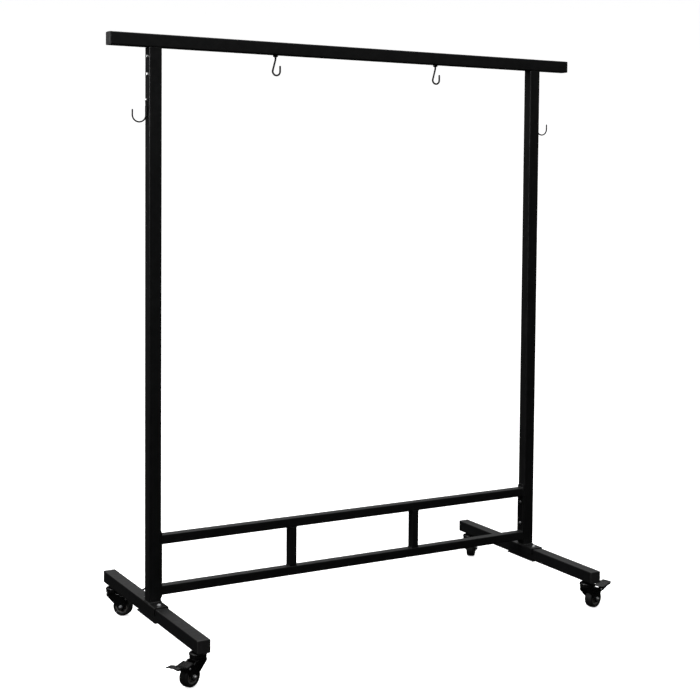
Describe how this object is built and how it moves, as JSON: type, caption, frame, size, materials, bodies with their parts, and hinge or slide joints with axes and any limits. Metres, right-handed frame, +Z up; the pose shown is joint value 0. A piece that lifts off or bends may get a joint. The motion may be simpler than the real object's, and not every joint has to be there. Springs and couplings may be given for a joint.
{
  "type": "gong stand",
  "caption": "Square-tube goal-post gong stand on two legs with braked swivel casters, hanging hooks under the beam, mallet hooks on the posts and a low double rail.",
  "frame": {"origin": "on the floor, in the middle of the stand between the two posts", "axes": "+X along the beam to the right seen from the front, +Y to the rear, +Z up"},
  "size_m": [1.7, 0.9082, 1.9],
  "materials": {
    "powder_coat": "satin black powder coat",
    "end_plug": "moulded black polyethylene",
    "inner_steel": "bare mill steel",
    "zinc_fastener": "bright zinc plate",
    "hook": "gloss black dip coat",
    "caster_steel": "black stove enamel on pressed steel",
    "wheel_hub": "moulded light grey polypropylene",
    "tyre": "matt black rubber"
  },
  "bodies": {
    "root": {"top_beam": "powder_coat", "beam_end_plug_left": "end_plug", "beam_spigot_left": "inner_steel", "gong_hook_left": "hook", "post_left": "powder_coat", "mallet_hook_left": "hook", "mallet_hook_screw_left": "zinc_fastener", "leg_left": "powder_coat", "clamp_plate_left": "powder_coat", "rail_strut_left": "powder_coat", "rail_end_plate_left": "powder_coat", "beam_end_plug_right": "end_plug", "beam_spigot_right": "inner_steel", "gong_hook_right": "hook", "post_right": "powder_coat", "mallet_hook_right": "hook", "mallet_hook_screw_right": "zinc_fastener", "leg_right": "powder_coat", "clamp_plate_right": "powder_coat", "rail_strut_right": "powder_coat", "rail_end_plate_right": "powder_coat", "post_bolt_left_upper": "zinc_fastener", "post_bolt_left_lower": "zinc_fastener", "post_bolt_right_upper": "zinc_fastener", "post_bolt_right_lower": "zinc_fastener", "leg_end_plug_front_left": "end_plug", "leg_bolt_front_left": "zinc_fastener", "leg_end_plug_rear_left": "end_plug", "leg_bolt_rear_left": "zinc_fastener", "leg_end_plug_front_right": "end_plug", "leg_bolt_front_right": "zinc_fastener", "leg_end_plug_rear_right": "end_plug", "leg_bolt_rear_right": "zinc_fastener", "upper_rail": "powder_coat", "lower_rail": "powder_coat", "caster_stem_front_left": "caster_steel", "caster_stem_rear_left": "caster_steel", "caster_stem_front_right": "caster_steel", "caster_stem_rear_right": "caster_steel"},
    "fork_front_left": {"caster_fork_front_left": "caster_steel", "caster_axle_front_left": "zinc_fastener"},
    "wheel_front_left": {"caster_hub_front_left": "wheel_hub", "caster_tyre_front_left": "tyre"},
    "pedal_front_left": {"caster_pedal_front_left": "caster_steel"},
    "fork_rear_left": {"caster_fork_rear_left": "caster_steel", "caster_axle_rear_left": "zinc_fastener"},
    "wheel_rear_left": {"caster_hub_rear_left": "wheel_hub", "caster_tyre_rear_left": "tyre"},
    "pedal_rear_left": {"caster_pedal_rear_left": "caster_steel"},
    "fork_front_right": {"caster_fork_front_right": "caster_steel", "caster_axle_front_right": "zinc_fastener"},
    "wheel_front_right": {"caster_hub_front_right": "wheel_hub", "caster_tyre_front_right": "tyre"},
    "pedal_front_right": {"caster_pedal_front_right": "caster_steel"},
    "fork_rear_right": {"caster_fork_rear_right": "caster_steel", "caster_axle_rear_right": "zinc_fastener"},
    "wheel_rear_right": {"caster_hub_rear_right": "wheel_hub", "caster_tyre_rear_right": "tyre"},
    "pedal_rear_right": {"caster_pedal_rear_right": "caster_steel"}
  },
  "joints": [
    {"name": "swivel_front_left", "type": "hinge", "parent": "root", "child": "fork_front_left", "pos_m": [-0.707, -0.374, 0.08], "axis": [0, 0, 1], "continuous": true},
    {"name": "roll_front_left", "type": "hinge", "parent": "fork_front_left", "child": "wheel_front_left", "pos_m": [-0.73781, -0.38837, 0.0315], "axis": [0.4226, -0.9063, 0], "continuous": true},
    {"name": "brake_front_left", "type": "hinge", "parent": "fork_front_left", "child": "pedal_front_left", "pos_m": [-0.75594, -0.39682, 0.061], "axis": [0.4226, -0.9063, 0], "range_deg": [-17, 0]},
    {"name": "swivel_rear_left", "type": "hinge", "parent": "root", "child": "fork_rear_left", "pos_m": [-0.707, 0.374, 0.08], "axis": [0, 0, 1], "continuous": true},
    {"name": "roll_rear_left", "type": "hinge", "parent": "fork_rear_left", "child": "wheel_rear_left", "pos_m": [-0.68296, 0.34996, 0.0315], "axis": [0.7071, 0.7071, 0], "continuous": true},
    {"name": "brake_rear_left", "type": "hinge", "parent": "fork_rear_left", "child": "pedal_rear_left", "pos_m": [-0.66882, 0.33582, 0.061], "axis": [0.7071, 0.7071, 0], "range_deg": [0, 17]},
    {"name": "swivel_front_right", "type": "hinge", "parent": "root", "child": "fork_front_right", "pos_m": [0.707, -0.374, 0.08], "axis": [0, 0, 1], "continuous": true},
    {"name": "roll_front_right", "type": "hinge", "parent": "fork_front_right", "child": "wheel_front_right", "pos_m": [0.73984, -0.3652, 0.0315], "axis": [-0.2588, 0.9659, 0], "continuous": true},
    {"name": "brake_front_right", "type": "hinge", "parent": "fork_front_right", "child": "pedal_front_right", "pos_m": [0.75916, -0.36002, 0.061], "axis": [-0.2588, 0.9659, 0], "range_deg": [-17, 0]},
    {"name": "swivel_rear_right", "type": "hinge", "parent": "root", "child": "fork_rear_right", "pos_m": [0.707, 0.374, 0.08], "axis": [0, 0, 1], "continuous": true},
    {"name": "roll_rear_right", "type": "hinge", "parent": "fork_rear_right", "child": "wheel_rear_right", "pos_m": [0.73019, 0.39887, 0.0315], "axis": [-0.7314, 0.682, 0], "continuous": true},
    {"name": "brake_rear_right", "type": "hinge", "parent": "fork_rear_right", "child": "pedal_rear_right", "pos_m": [0.74383, 0.41349, 0.061], "axis": [-0.7314, 0.682, 0], "range_deg": [0, 17]}
  ]
}
